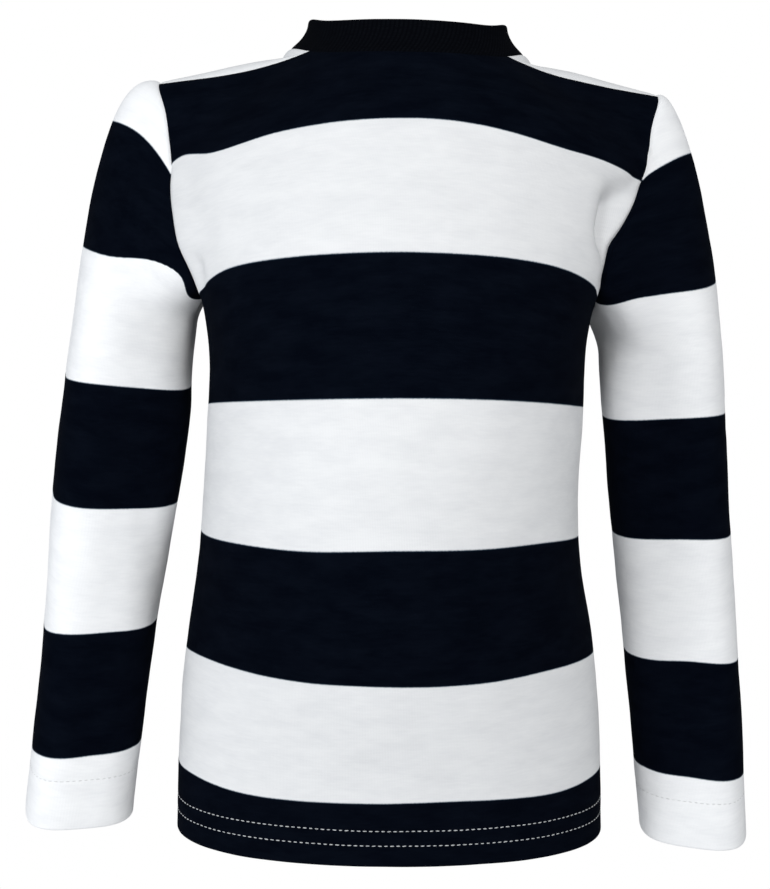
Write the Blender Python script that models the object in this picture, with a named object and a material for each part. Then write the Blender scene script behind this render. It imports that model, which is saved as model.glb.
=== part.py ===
"""A child's long-sleeved t-shirt in wide stripes, hollow and filled out as it is worn.

Five sewn pieces: back panel, front panel, two sleeves and a neckband. Sizes are in metres.
+X is the wearer's right, +Y is the way the wearer faces, +Z is up. The origin lies in the neck
opening, between the shoulders that carry the shirt.
"""

import bpy
import numpy as np

# Cloth and seams
WALL = 0.0014            # jersey with the loft it has when worn
TURN_UP_WALL = 0.0026    # the same cloth turned up and doubled
BAND_WALL = 0.0026       # neckband, folded double
SEAM_GAP = 0.0003        # left between pieces that are sewn together
HEM_TURN_UP = 0.022      # height of the doubled cloth at the hem
CUFF_TURN_UP = 0.026     # and at the cuffs
TURN_UP_EDGE = 0.0015    # length over which the wall thins again above a turn-up

# Body of the shirt, a row for each level. "up" runs along the cloth from the hem, "height" is
# the level at mid back, and "droop" is how much lower the level lies at the sides.
BODY_COLUMNS = ("up", "height", "droop", "half_width", "shift", "back", "front", "fullness")
BODY_ROWS = {
    "hem":      (0.000, -0.3990, 0.000, 0.1120, 0.0005, 0.058, 0.096, 0.20),
    "hip":      (0.034, -0.3660, 0.000, 0.1110, 0.0000, 0.063, 0.097, 0.15),
    "waist":    (0.097, -0.3060, -0.002, 0.1065, -0.0005, 0.082, 0.098, 0.05),
    "belly":    (0.162, -0.2420, 0.001, 0.0980, -0.0015, 0.095, 0.099, 0.00),
    "ribs":     (0.229, -0.1745, 0.003, 0.0965, 0.0005, 0.098, 0.096, 0.15),
    "chest":    (0.295, -0.1090, 0.0105, 0.1045, -0.0010, 0.089, 0.087, 0.30),
    "blades":   (0.328, -0.0765, 0.0110, 0.1210, 0.0015, 0.078, 0.076, -0.10),
    "yoke":     (0.361, -0.0460, 0.0190, 0.1280, 0.0050, 0.068, 0.064, -0.35),
}
DROOP_POWER = 1.9        # how much of the droop is kept for the sides

# Armholes, cut out of the sides of the body
UNDERARM_UP = 0.288      # level of the lowest point of the armholes
ARMHOLE_ROUND = 0.034    # height over which the armhole's lower end rounds
ARMHOLE_BACK_CUT = 22.0  # degrees of the body's section cut away behind the side
ARMHOLE_FRONT_CUT = 26.0
FRONT_YOKE_UP = 0.338    # level on the front where the cloth starts to turn over the shoulder

# Shoulder seams and neckline
# "turn" is in degrees from the middle of the back, "height" is the neckline's, and "rise" is how
# steeply the cloth climbs to it, in degrees
NECK_COLUMNS = ("turn", "height", "rise")
NECK_ROWS = {
    "back":       (0, -0.0090, 70),
    "back_side":  (34, -0.0072, 60),
    "seam":       (54, -0.0035, 44),
    "crest":      (84, 0.0038, 36),
    "shoulder":   (108, -0.0045, 38),
    "front_side": (132, -0.0270, 48),
    "low_side":   (156, -0.0440, 62),
    "front":      (180, -0.0500, 68),
}
NECK_HALF_WIDTH = 0.0609
NECK_HALF_DEPTH = 0.0520
NECK_MIDDLE_Y = 0.0040
SHOULDER_SHIFT = 0.0060  # the shoulders stand a little to the right of the hem
NECK_SHIFT = 0.0045      # and so does the neck
SHOULDER_TIP = (0.1285, -0.0040, -0.0150)  # sleeve end of a shoulder seam
SHOULDER_SAG = 0.0030    # how far the seam hangs below a straight line
SHOULDER_TILT = 0.5      # degrees by which the right shoulder is the lower one
BACK_NECK_SHARE = 0.42   # share of a panel's width that ends at the neckline
FRONT_NECK_SHARE = 0.60
SEAM_RISE_NECK = 40.0    # degrees by which the cloth climbs forward across the seam, at the neck
SEAM_RISE_TIP = 27.0     # at the shoulder tip
SEAM_RISE_MORE = 26.0    # and how much more half way
NECK_SLIDE = 1.4         # how far the cloth slides along the neckline as it meets the seam
NECK_REACH = 0.20        # share of a seam over which that dies out
YOKE_PULL = 0.36         # how far the cloth keeps its direction above the yoke, in chords
SEAM_PULL = 0.34         # and before the shoulder seams
NECK_PULL = 0.20         # and before the neckline

# Neckband: how far it rises and leans in, at the middle of the back and of the front
BAND_RISE_BACK = 0.0178
BAND_RISE_FRONT = 0.0155
BAND_IN_BACK = 0.0075
BAND_IN_FRONT = 0.0110

# Sleeves, a row for each ring down the arm: its centre, half width across and half depth, and
# how much lower it lies behind than at its centre
ARM_COLUMNS = ("down", "x", "y", "z", "across", "deep", "behind")
RIGHT_ARM_ROWS = {
    "biceps":  (0.000, 0.1435, 0.0190, -0.1455, 0.0338, 0.0360, 0.002),
    "elbow":   (0.090, 0.1550, 0.0300, -0.2350, 0.0330, 0.0348, 0.003),
    "forearm": (0.170, 0.1625, 0.0290, -0.3140, 0.0308, 0.0330, 0.009),
    "cuff":    (0.262, 0.1672, 0.0160, -0.4040, 0.0283, 0.0295, 0.008),
}
LEFT_ARM_ROWS = {
    "biceps":  (0.000, -0.1382, 0.0180, -0.1315, 0.0335, 0.0375, 0.005),
    "elbow":   (0.090, -0.1495, 0.0200, -0.2200, 0.0333, 0.0350, 0.008),
    "forearm": (0.170, -0.1565, 0.0120, -0.2985, 0.0290, 0.0330, 0.010),
    "cuff":    (0.262, -0.1630, -0.0040, -0.3890, 0.0275, 0.0295, 0.007),
}

# Sleeve caps: degrees below level at which the cloth leaves the shoulder tip and the underarm, and
# how far it keeps the arm's direction and the one in which it left the armhole, in chords
RIGHT_CAP = {"leave_top": -22.0, "leave_under": 75.0, "ring_pull": 0.34, "seam_pull": 0.12}
LEFT_CAP = {"leave_top": -22.0, "leave_under": 74.0, "ring_pull": 0.46, "seam_pull": 0.22}
ARM_TURN = 28.0          # degrees by which the underarm lies behind the inner side of the arm

# Mesh steps
BODY_STEPS = 11          # rows from the hem's turn-up to the underarm
ARMHOLE_STEPS = 5        # rows round the lower end of the armholes
BACK_YOKE_STEPS = 3      # rows from there to the yoke level
FRONT_YOKE_STEPS = 1
BACK_SHOULDER_STEPS = 5  # rows from the yoke level to the seam
FRONT_SHOULDER_STEPS = 9
NECK_STEPS = 14          # columns of a panel that end at the neckline
SEAM_STEPS = 5           # and at each shoulder seam
ARM_STEPS = 9            # rows from the cuff's turn-up to the biceps
CAP_STEPS = 6            # rows from the biceps to the armhole
BAND_ROWS = (0.0, 0.3, 0.62, 0.9, 1.0)
SMALL = 0.001            # step over which slopes are read
SAME_PLACE = 0.00001

# Look
JERSEY_COLOUR = (0.80, 0.81, 0.83)
BAND_COLOUR = (0.010, 0.012, 0.017)
CLOTH_ROUGHNESS = 0.9
RIM_ANGLE = 50.0         # degrees; a wall's rims stay sharp

BACK, FRONT = -1, 1
LEFT, RIGHT = -1, 1


def smooth_curve(at, values, where):
    """A natural cubic curve through the values, read at any places."""
    at, values, where = (np.asarray(a, float) for a in (at, values, where))
    step = np.diff(at)
    rise = np.diff(values) / step
    count = len(at)
    system, right = np.eye(count), np.zeros(count)
    for i in range(1, count - 1):
        system[i, i - 1:i + 2] = step[i - 1], 2 * (step[i - 1] + step[i]), step[i]
        right[i] = 6 * (rise[i] - rise[i - 1])
    bend = np.linalg.solve(system, right)
    k = np.clip(np.searchsorted(at, where) - 1, 0, count - 2)
    b = (where - at[k]) / step[k]
    a = 1 - b
    cubic = ((a ** 3 - a) * bend[k] + (b ** 3 - b) * bend[k + 1]) * step[k] ** 2 / 6
    return a * values[k] + b * values[k + 1] + cubic


def column(rows, columns, name, where):
    """One named column of a table of rows, read along the table's first column."""
    table = np.array(list(rows.values()))
    return smooth_curve(table[:, 0], table[:, columns.index(name)], where)


def unit(v):
    return v / np.linalg.norm(v, axis=-1, keepdims=True)


def bow(start, first, last, end, t):
    """A Bezier curve between two points, led by two handles."""
    return (1 - t) ** 3 * start + 3 * t * (1 - t) ** 2 * first + 3 * t ** 2 * (1 - t) * last + t ** 3 * end


def body_point(side, turn, up):
    """The body's surface at an angle from the middle of the back or front, in degrees."""
    width, depth, full, height, droop, shift = (
        column(BODY_ROWS, BODY_COLUMNS, name, up)
        for name in ("half_width", "back" if side == BACK else "front", "fullness", "height",
                     "droop", "shift"))
    sine, cosine = np.sin(np.radians(turn)), np.cos(np.radians(turn))
    arc = cosine + full * cosine * (1 - cosine)
    return np.stack([shift + width * sine, side * depth * arc,
                     height - droop * np.abs(sine) ** DROOP_POWER], axis=-1)


def armhole_cut(side, up):
    """Degrees cut away from the side of a panel, a round arc up from the underarm."""
    deepest = ARMHOLE_BACK_CUT if side == BACK else ARMHOLE_FRONT_CUT
    rise = np.clip((up - UNDERARM_UP) / ARMHOLE_ROUND, 0, 1)
    return deepest * np.sqrt(1 - (1 - rise) ** 2)


def body_normal(side, turn, up):
    around = body_point(side, turn + SMALL, up) - body_point(side, turn - SMALL, up)
    upward = body_point(side, turn, up + SMALL) - body_point(side, turn, up - SMALL)
    return -side * unit(np.cross(around, upward))


def yoke_up(side):
    return BODY_ROWS["yoke"][0] if side == BACK else FRONT_YOKE_UP


def tilted(point):
    """Leans points sideways about the origin, by the tilt of the shoulders."""
    lean = np.radians(SHOULDER_TILT)
    x, y, z = point[..., 0], point[..., 1], point[..., 2]
    return np.stack([x * np.cos(lean) + z * np.sin(lean), y, z * np.cos(lean) - x * np.sin(lean)], axis=-1)


def neck_share(side):
    return BACK_NECK_SHARE if side == BACK else FRONT_NECK_SHARE


def seam_share(side, across):
    """How far along its shoulder seam a column of a panel ends, 0 at the neck and over it."""
    share = neck_share(side)
    return np.clip((np.abs(across) - share) / (1 - share), 0, 1)


def neck_value(name, turn):
    """A column of the neckline's table, read all round; the two sides are alike."""
    table = np.array(list(NECK_ROWS.values()))
    at, value = table[:, 0], table[:, NECK_COLUMNS.index(name)]
    return smooth_curve(np.concatenate([-at[:0:-1], at, 360 - at[-2::-1]]),
                        np.concatenate([value[:0:-1], value, value[-2::-1]]), turn)


def neckline_point(turn):
    """The neckline, an oval seen from above. The turn is 0 at the middle of the back, in degrees."""
    sine, cosine = np.sin(np.radians(turn)), np.cos(np.radians(turn))
    return np.stack([NECK_HALF_WIDTH * sine, NECK_MIDDLE_Y - NECK_HALF_DEPTH * cosine,
                     neck_value("height", turn)], axis=-1)


def top_edge(side, across):
    """The shoulder seams and neckline of a panel, from the left tip (-1) to the right tip (1)."""
    middle, seam_turn = (0 if side == BACK else 180), NECK_ROWS["seam"][0]
    end = neckline_point(np.array(seam_turn))
    out = seam_share(side, across)[..., None]
    seam = end + (np.array(SHOULDER_TIP) - end) * out
    seam[..., 2:] -= SHOULDER_SAG * 4 * out * (1 - out) * (1.5 - out)
    share = np.clip(np.abs(across) / neck_share(side), 0, 1)
    point = np.where(out > 0, seam, neckline_point(middle + (seam_turn - middle) * share))
    point[..., 0] *= np.where(across < 0, -1, 1)
    point[..., 0] += NECK_SHIFT + (SHOULDER_SHIFT - NECK_SHIFT) * out[..., 0]
    return tilted(point)


def neck_direction(side, share):
    """The direction in which a panel's cloth runs into the neckline, on the right."""
    middle = 0 if side == BACK else 180
    turn = middle + (NECK_ROWS["seam"][0] - middle) * share
    sine, cosine = np.sin(np.radians(turn)), np.cos(np.radians(turn))
    inward = unit(np.stack([-sine / NECK_HALF_WIDTH, cosine / NECK_HALF_DEPTH, 0 * sine], axis=-1))
    rise = np.radians(neck_value("rise", turn))[..., None]
    along = unit(neckline_point(turn + SMALL) - neckline_point(turn - SMALL))
    slide = -side * NECK_SLIDE * (share ** 2)[..., None]
    return unit(np.cos(rise) * inward + np.sin(rise) * np.array([0, 0, 1]) + slide * along)


def near_neck(side, across):
    return np.exp(-(seam_share(side, across) / NECK_REACH))[..., None]


def top_direction(side, across):
    """The direction in which the cloth of a panel arrives at its top edge."""
    out = seam_share(side, across)
    slope = np.radians(SEAM_RISE_NECK + (SEAM_RISE_TIP - SEAM_RISE_NECK) * out
                       + SEAM_RISE_MORE * 4 * out * (1 - out))
    shoulder = -side * np.stack([0 * slope, np.cos(slope), np.sin(slope)], axis=-1)
    neck = neck_direction(side, np.clip(np.abs(across) / neck_share(side), 0, 1))
    near = near_neck(side, across)
    direction = unit(neck * near + shoulder * (1 - near))
    direction[..., 0] *= np.where(across < 0, -1, 1)
    return direction


def panel_point(side, across, level):
    """A panel's surface. Level is "up" as far as the yoke, then 1 to 2 from there to the top edge."""
    across, level = np.broadcast_arrays(np.asarray(across, float), np.asarray(level, float))
    yoke = yoke_up(side)
    up = np.minimum(level, yoke)
    turn = across * (90 - armhole_cut(side, up))
    low = body_point(side, turn, up)
    t = np.clip(level - 1, 0, 1)[..., None]
    yoke_turn = across * (90 - armhole_cut(side, yoke))
    start = body_point(side, yoke_turn, np.full_like(up, yoke))
    before = body_point(side, yoke_turn, np.full_like(up, yoke - SMALL))
    end = top_edge(side, across)
    chord = np.linalg.norm(end - start, axis=-1, keepdims=True)
    pull = SEAM_PULL + (NECK_PULL - SEAM_PULL) * near_neck(side, across)
    first = start + unit(start - before) * chord * YOKE_PULL
    last = end - top_direction(side, across) * chord * pull
    return np.where(level[..., None] >= 1, bow(start, first, last, end, t), low)


def panel_normal(side, across, level):
    across, level = np.broadcast_arrays(np.asarray(across, float), np.asarray(level, float))
    up = np.minimum(level, yoke_up(side))
    low = body_normal(side, across * (90 - armhole_cut(side, up)), up)
    around = panel_point(side, across + SMALL, level) - panel_point(side, across - SMALL, level)
    upward = panel_point(side, across, level + SMALL) - panel_point(side, across, level - SMALL)
    high = -side * unit(np.cross(around, upward) + (level < 1)[..., None])
    return np.where(level[..., None] > 1, high, low)


def panel_levels(side):
    """The levels of a panel's rows, closer together round the lower end of the armholes."""
    arc = 1 - np.cos(np.linspace(0, np.pi / 2, ARMHOLE_STEPS + 1))
    straight = np.linspace(HEM_TURN_UP + TURN_UP_EDGE, UNDERARM_UP, BODY_STEPS)
    armhole = UNDERARM_UP + ARMHOLE_ROUND * arc[1:]
    yoke_steps = BACK_YOKE_STEPS if side == BACK else FRONT_YOKE_STEPS
    yoke = np.linspace(armhole[-1], yoke_up(side), yoke_steps + 1)[1:]
    shoulder_steps = BACK_SHOULDER_STEPS if side == BACK else FRONT_SHOULDER_STEPS
    shoulder = 1 + np.linspace(0, 1, shoulder_steps + 1)[1:]
    return np.concatenate([[0, HEM_TURN_UP], straight, armhole, yoke, shoulder])


def panel_across(side):
    """The columns of a panel, from left to right as seen from outside."""
    share = neck_share(side)
    seam = np.linspace(share, 1, SEAM_STEPS + 1)
    neck = np.linspace(-share, share, NECK_STEPS + 1)[1:-1]
    return -side * np.concatenate([-seam[::-1], neck, seam])


def panel(side):
    """A panel before its seams: its outer face, the way out of the cloth, and its thickness."""
    across, level = panel_across(side)[None, :], panel_levels(side)[:, None]
    wall = np.where(level <= HEM_TURN_UP, TURN_UP_WALL, WALL)
    return {"outer": panel_point(side, across, level), "out": panel_normal(side, across, level),
            "wall": wall, "closed": False, "seams": (False, True, True, True)}


def arm_rows(hand):
    return RIGHT_ARM_ROWS if hand == RIGHT else LEFT_ARM_ROWS


def arm_centre(hand, down):
    return np.stack([column(arm_rows(hand), ARM_COLUMNS, name, down) for name in "xyz"], axis=-1)


def arm_ring(hand, angle, down):
    """A sleeve below the biceps, and the arm's upward direction. The angle starts at the inner
    side and goes round behind."""
    across, deep, behind = (
        column(arm_rows(hand), ARM_COLUMNS, name, down) for name in ("across", "deep", "behind"))
    axis = unit(arm_centre(hand, down + SMALL) - arm_centre(hand, down - SMALL))
    forward = unit(np.array([0.0, 1.0, 0.0]) - axis * axis[..., 1:2])
    inward = hand * unit(np.cross(forward, axis))
    cosine, sine = np.cos(np.radians(angle))[..., None], np.sin(np.radians(angle))[..., None]
    ring = (arm_centre(hand, down) + inward * across[..., None] * cosine
            - forward * deep[..., None] * sine + axis * behind[..., None] * sine)
    return ring, -axis


def armhole_edge(side, hand):
    """A panel's armhole edge, from the underarm to the shoulder tip, with its length as an angle."""
    levels = panel_levels(side)
    edge = panel_point(side, float(hand), levels[levels > UNDERARM_UP - SMALL])
    step = np.linalg.norm(np.diff(edge, axis=0), axis=1)
    length = np.concatenate([[0], np.cumsum(step)])
    return edge, length / length[-1] * 180


def armhole(hand):
    """The whole armhole, up the back and down the front, with the sleeve's angle at each point."""
    back, back_angle = armhole_edge(BACK, hand)
    front, front_angle = armhole_edge(FRONT, hand)
    ring = np.concatenate([back, front[-2:0:-1]])
    angle = np.concatenate([back_angle, 360 - front_angle[-2:0:-1]])
    return ring[::hand], angle[::hand]


def sleeve_point(hand, end, angle, level):
    """A sleeve. Level is minus "down" on the arm, then 0 to 1 from the biceps to the armhole."""
    angle, level = np.broadcast_arrays(np.asarray(angle, float), np.asarray(level, float))
    cap = RIGHT_CAP if hand == RIGHT else LEFT_CAP
    under = (1 + np.cos(np.radians(angle))) / 2
    round_arm = angle + ARM_TURN * under
    low, _ = arm_ring(hand, round_arm, np.maximum(-level, 0))
    start, upward = arm_ring(hand, round_arm, np.zeros_like(angle))
    leave = np.radians(cap["leave_top"] + (cap["leave_under"] - cap["leave_top"]) * under ** 2)
    outward = np.stack([hand * np.cos(leave), 0 * leave, -np.sin(leave)], axis=-1)
    chord = np.linalg.norm(end - start, axis=-1, keepdims=True)
    first = start + upward * chord * cap["ring_pull"]
    last = end + outward * chord * cap["seam_pull"]
    t = np.clip(level, 0, 1)[..., None]
    return np.where(level[..., None] > 0, bow(start, first, last, end, t), low)


def sleeve(hand):
    end, angle = armhole(hand)
    length = arm_rows(hand)["cuff"][0]
    arm = np.linspace(-length + CUFF_TURN_UP + TURN_UP_EDGE, 0, ARM_STEPS)
    cap = np.linspace(0, 1, CAP_STEPS + 1)[1:]
    level = np.concatenate([[-length, -length + CUFF_TURN_UP], arm, cap])[:, None]
    outer = sleeve_point(hand, end, angle, level)
    wall = np.where(level <= -length + CUFF_TURN_UP, TURN_UP_WALL, WALL)
    return {"outer": outer, "out": tube_normal(outer), "wall": wall, "closed": True,
            "seams": (False, True)}


def neckline():
    """The neckline's points as the panels' columns meet it, round from the left by the back."""
    rings = []
    for side in (BACK, FRONT):
        across = panel_across(side)
        rings.append(top_edge(side, across[np.abs(across) <= neck_share(side)]))
    return np.concatenate([rings[0], rings[1][1:-1]])


def neckband():
    """The neckband, rising from the neckline and leaning in, with its folded top edge rounded."""
    start = neckline()
    oval = np.array([1 / NECK_HALF_WIDTH ** 2, 1 / NECK_HALF_DEPTH ** 2, 0])
    inward = unit((np.array([NECK_SHIFT, NECK_MIDDLE_Y, 0.0]) - start) * oval)
    forward = ((start[:, 1:2] - NECK_MIDDLE_Y) / NECK_HALF_DEPTH + 1) / 2
    rise = BAND_RISE_BACK + (BAND_RISE_FRONT - BAND_RISE_BACK) * forward
    lean = BAND_IN_BACK + (BAND_IN_FRONT - BAND_IN_BACK) * forward
    share = np.array(BAND_ROWS)[:, None, None]
    fold = np.where(share == 1, BAND_WALL / 4, 0)
    outer = start + share * rise * np.array([0, 0, 1]) + ((1 - (1 - share) ** 2) * lean + fold) * inward
    wall = np.where(share[..., 0] == 1, BAND_WALL / 2, BAND_WALL)
    return {"outer": outer, "out": tube_normal(outer), "wall": wall, "closed": True,
            "seams": (True, False)}


def tube_normal(grid):
    """The way out of a closed tube of points, whose last column joins its first."""
    around = np.roll(grid, -1, axis=1) - np.roll(grid, 1, axis=1)
    return unit(np.cross(around, np.gradient(grid, axis=0)))


def edge_loops(piece):
    """A piece's edges as loops of points, anticlockwise seen from outside, and which are seams."""
    rows, columns = piece["outer"].shape[:2]
    index = np.arange(rows * columns).reshape(rows, columns)
    seams = np.array(piece["seams"], float)
    if piece["closed"]:
        return [(index[0], np.full(columns, seams[0])), (index[-1, ::-1], np.full(columns, seams[1]))]
    loop = np.concatenate([index[0, :-1], index[:-1, -1], index[-1, :0:-1], index[:0:-1, 0]])
    lengths = [columns - 1, rows - 1, columns - 1, rows - 1]
    return [(loop, np.repeat(seams, lengths))]


def filled_angle(points):
    """The angle that a piece fills at each point of its edge."""
    back, on = unit(np.roll(points, 1, axis=0) - points), unit(np.roll(points, -1, axis=0) - points)
    return np.arccos(np.clip(np.sum(back * on, axis=-1, keepdims=True), -1, 1))


def share_seams(pieces):
    """Gives all pieces that meet at a place one direction through the cloth there."""
    loops = [(piece, loop) for piece in pieces for loop, _ in edge_loops(piece)]
    edges = [piece["outer"].reshape(-1, 3)[loop] for piece, loop in loops]
    outs = [piece["out"].reshape(-1, 3)[loop] for piece, loop in loops]
    weighed = np.concatenate([out * filled_angle(edge) for out, edge in zip(outs, edges)])
    points = np.concatenate(edges)
    distance = np.linalg.norm(points[:, None] - points[None], axis=-1)
    shared = unit((distance < SAME_PLACE).astype(float) @ weighed)
    done = 0
    for piece, loop in loops:
        piece["out"].reshape(-1, 3)[loop] = shared[done:done + len(loop)]
        done += len(loop)


def draw_in(piece):
    """Moves a piece's edges in from its seams by half the gap."""
    outer, out = piece["outer"].reshape(-1, 3), piece["out"].reshape(-1, 3)
    for loop, seams in edge_loops(piece):
        points, outward = outer[loop], out[loop]
        along = np.roll(points, -1, axis=0) - points
        into = unit(np.cross(outward + np.roll(outward, -1, axis=0), along))
        for i, place in enumerate(loop):
            move = np.linalg.pinv(into[[i - 1, i]], rcond=0.2) @ seams[[i - 1, i]]
            outer[place] += move * SEAM_GAP / 2


def faces(rows, columns, closed):
    """Quads of a wall: its outer face, its inner face, and the strips along its edges."""
    inner = rows * columns
    index = np.arange(inner).reshape(rows, columns)
    if closed:
        index = np.concatenate([index, index[:, :1]], axis=1)
    a, b, c, d = index[:-1, :-1], index[:-1, 1:], index[1:, 1:], index[1:, :-1]
    quads = [np.stack([a, b, c, d], axis=-1), np.stack([d, c, b, a], axis=-1) + inner]
    strips = [(index[0, 1:], index[0, :-1]), (index[-1, :-1], index[-1, 1:])]
    if not closed:
        strips += [(index[:-1, 0], index[1:, 0]), (index[1:, -1], index[:-1, -1])]
    quads += [np.stack([p, q, q + inner, p + inner], axis=-1) for p, q in strips]
    return np.concatenate([q.reshape(-1, 4) for q in quads])


def cloth(name, colour):
    material = bpy.data.materials.new(name)
    material.use_nodes = True
    shader = material.node_tree.nodes["Principled BSDF"]
    shader.inputs["Base Color"].default_value = (*colour, 1)
    shader.inputs["Roughness"].default_value = CLOTH_ROUGHNESS
    return material


def add_wall(name, piece, material):
    """Adds one piece as a closed wall, with its rims sharp and its faces smooth."""
    outer = piece["outer"].reshape(-1, 3)
    inner = outer - (piece["out"] * piece["wall"][..., None]).reshape(-1, 3)
    mesh = bpy.data.meshes.new(name)
    quads = faces(*piece["outer"].shape[:2], piece["closed"])
    mesh.from_pydata(np.concatenate([outer, inner]).tolist(), [], quads.tolist())
    mesh.polygons.foreach_set("use_smooth", np.ones(len(mesh.polygons), dtype=bool))
    mesh.set_sharp_from_angle(angle=np.radians(RIM_ANGLE))
    mesh.materials.append(material)
    piece_object = bpy.data.objects.new(name, mesh)
    bpy.context.scene.collection.objects.link(piece_object)


def build():
    for old in list(bpy.data.objects):
        bpy.data.objects.remove(old)
    pieces = {
        "back_panel": panel(BACK),
        "front_panel": panel(FRONT),
        "left_sleeve": sleeve(LEFT),
        "right_sleeve": sleeve(RIGHT),
        "neckband": neckband(),
    }
    share_seams(list(pieces.values()))
    for name, piece in pieces.items():
        draw_in(piece)
        colour = BAND_COLOUR if name == "neckband" else JERSEY_COLOUR
        add_wall(name, piece, cloth(name + "_cloth", colour))


build()
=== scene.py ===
# Long-sleeved t-shirt for a child of about three, in wide black and white jersey stripes, hollow and
# filled out as it is worn. Sizes are in metres. +X is the wearer's right, +Y the way the wearer faces,
# +Z is up, and the camera looks at the back of the shirt.

import math

import bpy
import numpy as np
from mathutils import Matrix


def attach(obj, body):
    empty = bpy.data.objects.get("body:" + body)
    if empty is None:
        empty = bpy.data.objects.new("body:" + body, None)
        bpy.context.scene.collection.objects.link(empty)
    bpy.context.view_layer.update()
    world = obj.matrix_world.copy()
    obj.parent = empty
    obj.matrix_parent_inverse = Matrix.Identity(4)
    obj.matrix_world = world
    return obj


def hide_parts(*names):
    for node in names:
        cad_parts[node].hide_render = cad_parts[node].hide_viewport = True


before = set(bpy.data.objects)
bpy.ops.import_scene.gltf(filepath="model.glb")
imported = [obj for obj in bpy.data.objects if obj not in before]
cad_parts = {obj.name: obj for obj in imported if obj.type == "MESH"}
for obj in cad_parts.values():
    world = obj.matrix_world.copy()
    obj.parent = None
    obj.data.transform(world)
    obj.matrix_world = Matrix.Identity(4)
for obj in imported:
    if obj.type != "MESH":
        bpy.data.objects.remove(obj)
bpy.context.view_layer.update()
print("frame loaded")

back, front = -1, 1
left, right = -1, 1
smallStep = 0.001  # step over which slopes are read
tiny = 1e-9  # slack when levels are compared

# Cloth thickness, turn-ups and rims
cloth = {
    "wall": 0.0011,  # jersey with its loft
    "turnUpWall": 0.0021,  # turned up and doubled
    "bandWall": 0.0022,  # neckband, folded double
    "hemTurnUp": 0.022,
    "cuffTurnUp": 0.026,
    "turnUpEdge": 0.0015,
    "rim": (0, 0.00015, 0.0004, 0.0008, 0.0012),  # rings of a rounded rim
    "seamGap": 0.00004,  # left between sewn pieces, at the bottom of the seam's ditch
    "thinnestRim": 0.12,  # share of the wall left at a rounded rim
}

# Mesh steps, and how far they are drawn together towards seams
mesh = {"hem": 26, "body": 104, "armhole": 24, "backYoke": 14, "frontYoke": 7, "backShoulder": 34,
        "frontShoulder": 56, "seamColumns": 50, "neckColumns": 100, "arm": 92, "cap": 44, "band": 22}
drawn = {"body": 0.6, "armhole": 0.5, "shoulder": 0.75, "seamColumns": 0.78, "neckColumns": 0.6, "cap": 0.75,
         "band": 0.75}


# natural cubic curve through the values, read at any places
def smoothCurve(at, values, where):
    at, values, where = (np.asarray(a, float) for a in (at, values, where))
    step = np.diff(at)
    rise = np.diff(values) / step
    count = len(at)
    system, known = np.eye(count), np.zeros(count)
    for i in range(1, count - 1):
        system[i, i - 1:i + 2] = step[i - 1], 2 * (step[i - 1] + step[i]), step[i]
        known[i] = 6 * (rise[i] - rise[i - 1])
    bend = np.linalg.solve(system, known)
    k = np.clip(np.searchsorted(at, where) - 1, 0, count - 2)
    b = (where - at[k]) / step[k]
    a = 1 - b
    cubic = ((a ** 3 - a) * bend[k] + (b ** 3 - b) * bend[k + 1]) * step[k] ** 2 / 6
    return a * values[k] + b * values[k + 1] + cubic


def column(rows, columns, name, where):
    table = np.array(list(rows.values()))
    return smoothCurve(table[:, 0], table[:, columns.index(name)], where)


def sineCosine(degrees):
    return np.sin(np.radians(degrees)), np.cos(np.radians(degrees))


def unit(v):
    return v / np.linalg.norm(v, axis=-1, keepdims=True)


# Bezier curve between two points, led by two handles
def bow(start, first, last, end, t):
    return (1 - t) ** 3 * start + 3 * t * (1 - t) ** 2 * first + 3 * t ** 2 * (1 - t) * last + t ** 3 * end


def lengthAlong(points, axis):
    step = np.linalg.norm(np.diff(points, axis=axis), axis=-1)
    start = np.zeros_like(np.take(step, [0], axis=axis))
    return np.concatenate([start, np.cumsum(step, axis=axis)], axis=axis)


# Body, a row for each stripe edge: "up" runs along the cloth from the hem, "height" is the level at
# mid back, "droop" how much lower it lies at the sides
bodyColumns = ("up", "height", "droop", "halfWidth", "shift", "back", "front", "fullness")
bodyRows = {
    "hem":    (0.000, -0.3990, 0.000, 0.1120, 0.0005, 0.058, 0.096, 0.20),
    "hip":    (0.034, -0.3660, 0.000, 0.1110, 0.0000, 0.063, 0.097, 0.15),
    "waist":  (0.097, -0.3060, -0.002, 0.1065, -0.0005, 0.082, 0.098, 0.05),
    "belly":  (0.162, -0.2420, 0.001, 0.0980, -0.0015, 0.095, 0.099, 0.00),
    "ribs":   (0.229, -0.1745, 0.003, 0.0965, 0.0005, 0.098, 0.096, 0.15),
    "chest":  (0.295, -0.1090, 0.0105, 0.1040, 0.0007, 0.089, 0.087, 0.30),
    "blades": (0.328, -0.0765, 0.0110, 0.1210, 0.0015, 0.078, 0.076, -0.10),
    "yoke":   (0.361, -0.0460, 0.0190, 0.1280, 0.0050, 0.068, 0.064, -0.35),
}
body = {
    "droopPower": 1.9,
    "underarmUp": 0.288,
    "armholeRound": 0.034,
    "backCut": 22.0,  # degrees of the section cut away at the armholes
    "frontCut": 26.0,
    "frontYokeUp": 0.338,
}


# body section at a level: half an oval, x = width * sine, y = depth * cosine made fuller or flatter,
# z = the level's height less its droop towards the sides
def bodyPoint(side, turn, up):
    depthName = "back" if side == back else "front"
    width, depth, full, height, droop, shift = (
        column(bodyRows, bodyColumns, name, up)
        for name in ("halfWidth", depthName, "fullness", "height", "droop", "shift"))
    sine, cosine = sineCosine(turn)
    return np.stack([shift + width * sine, side * depth * (cosine + full * cosine * (1 - cosine)),
                     height - droop * np.abs(sine) ** body["droopPower"]], axis=-1)


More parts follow.
